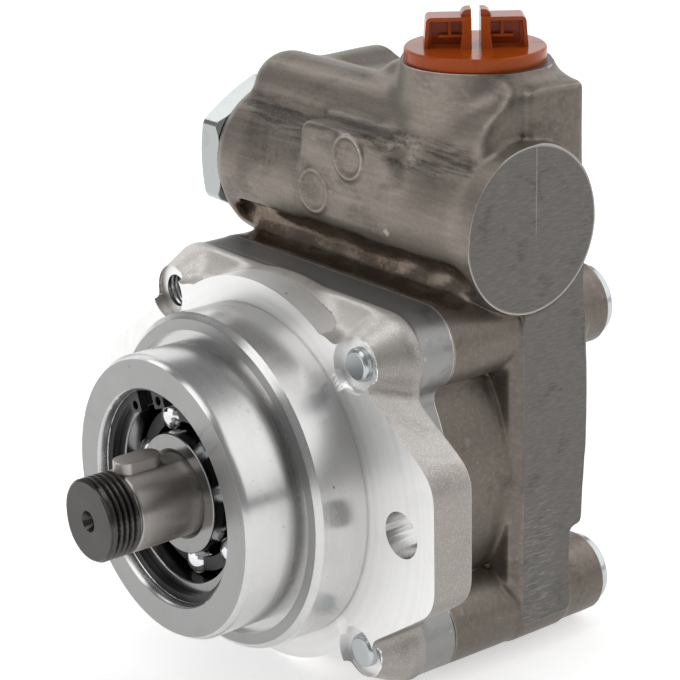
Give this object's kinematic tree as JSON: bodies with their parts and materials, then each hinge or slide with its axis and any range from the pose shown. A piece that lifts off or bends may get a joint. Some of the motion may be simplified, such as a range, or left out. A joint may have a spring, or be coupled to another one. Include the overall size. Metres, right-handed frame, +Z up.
{
  "type": "power steering pump",
  "caption": "Vane-type power steering pump with a two-bolt flange, round pilot, keyed threaded shaft, open front bearing, cross-mounted flow valve and a plugged suction port.",
  "frame": {"origin": "shaft axis at the face of the mounting flange", "axes": "shaft along Y with its threaded end towards -Y, +Z up towards the suction port, +X towards the valve's closed end"},
  "size_m": [0.129, 0.1244, 0.1555],
  "materials": {
    "raw_aluminium": "satin",
    "cast_housing": "satin",
    "dark_steel": "satin",
    "bearing_steel": "polished",
    "ball_steel": "polished",
    "cage": "satin",
    "black_steel": "satin",
    "rubber": "matte",
    "spring_steel": "satin",
    "sintered_iron": "satin",
    "ground_steel": "polished",
    "bronze": "satin",
    "zinc_plate": "satin",
    "orange_plastic": "glossy"
  },
  "bodies": {
    "casing": {"bearing_circlip": "black_steel", "bearing_outer_ring": "bearing_steel", "cam_ring": "sintered_iron", "dowel_pin_bottom": "bearing_steel", "dowel_pin_top": "bearing_steel", "front_cover": "raw_aluminium", "housing_bolt_lower_left": "zinc_plate", "housing_bolt_lower_right": "zinc_plate", "housing_bolt_upper_left": "zinc_plate", "housing_bolt_upper_right": "zinc_plate", "housing_o_ring": "rubber", "outlet_port_plug": "orange_plastic", "pressure_plate": "sintered_iron", "pressure_plate_o_ring": "rubber", "pressure_plate_spring": "spring_steel", "pump_housing": "cast_housing", "rear_bush": "bronze", "seal_garter_spring": "spring_steel", "shaft_seal": "rubber", "side_plate": "sintered_iron", "suction_port_plug": "orange_plastic", "valve_plug": "zinc_plate", "valve_plug_o_ring": "rubber", "valve_spring": "spring_steel"},
    "shaft": {"drive_shaft": "dark_steel", "shaft_key": "dark_steel", "bearing_inner_ring": "bearing_steel", "rotor": "sintered_iron", "rotor_snap_ring": "spring_steel", "vane_1": "ground_steel", "vane_2": "ground_steel", "vane_3": "ground_steel", "vane_4": "ground_steel", "vane_5": "ground_steel", "vane_6": "ground_steel", "vane_7": "ground_steel", "vane_8": "ground_steel", "vane_9": "ground_steel", "vane_10": "ground_steel"},
    "ball_cage": {"bearing_cage": "cage", "bearing_ball_1": "ball_steel", "bearing_ball_2": "ball_steel", "bearing_ball_3": "ball_steel", "bearing_ball_4": "ball_steel", "bearing_ball_5": "ball_steel", "bearing_ball_6": "ball_steel", "bearing_ball_7": "ball_steel"},
    "spool": {"flow_control_spool": "ground_steel"}
  },
  "joints": [
    {"name": "shaft_spin", "type": "hinge", "parent": "casing", "child": "shaft", "pos_m": [0, 0, 0], "axis": [0, 1, 0], "continuous": true},
    {"name": "ball_cage_spin", "type": "hinge", "parent": "casing", "child": "ball_cage", "pos_m": [0, -0.0166, 0], "axis": [0, 1, 0], "continuous": true},
    {"name": "spool_slide", "type": "slide", "parent": "casing", "child": "spool", "axis": [-1, 0, 0], "range_m": [0, 0.01], "stiffness_N_per_m": 2500, "springref_m": -0.004, "deforming": ["valve_spring"]}
  ],
  "couplings": [
    {"joint": "ball_cage_spin", "follows": "shaft_spin", "ratio": 0.3695}
  ]
}
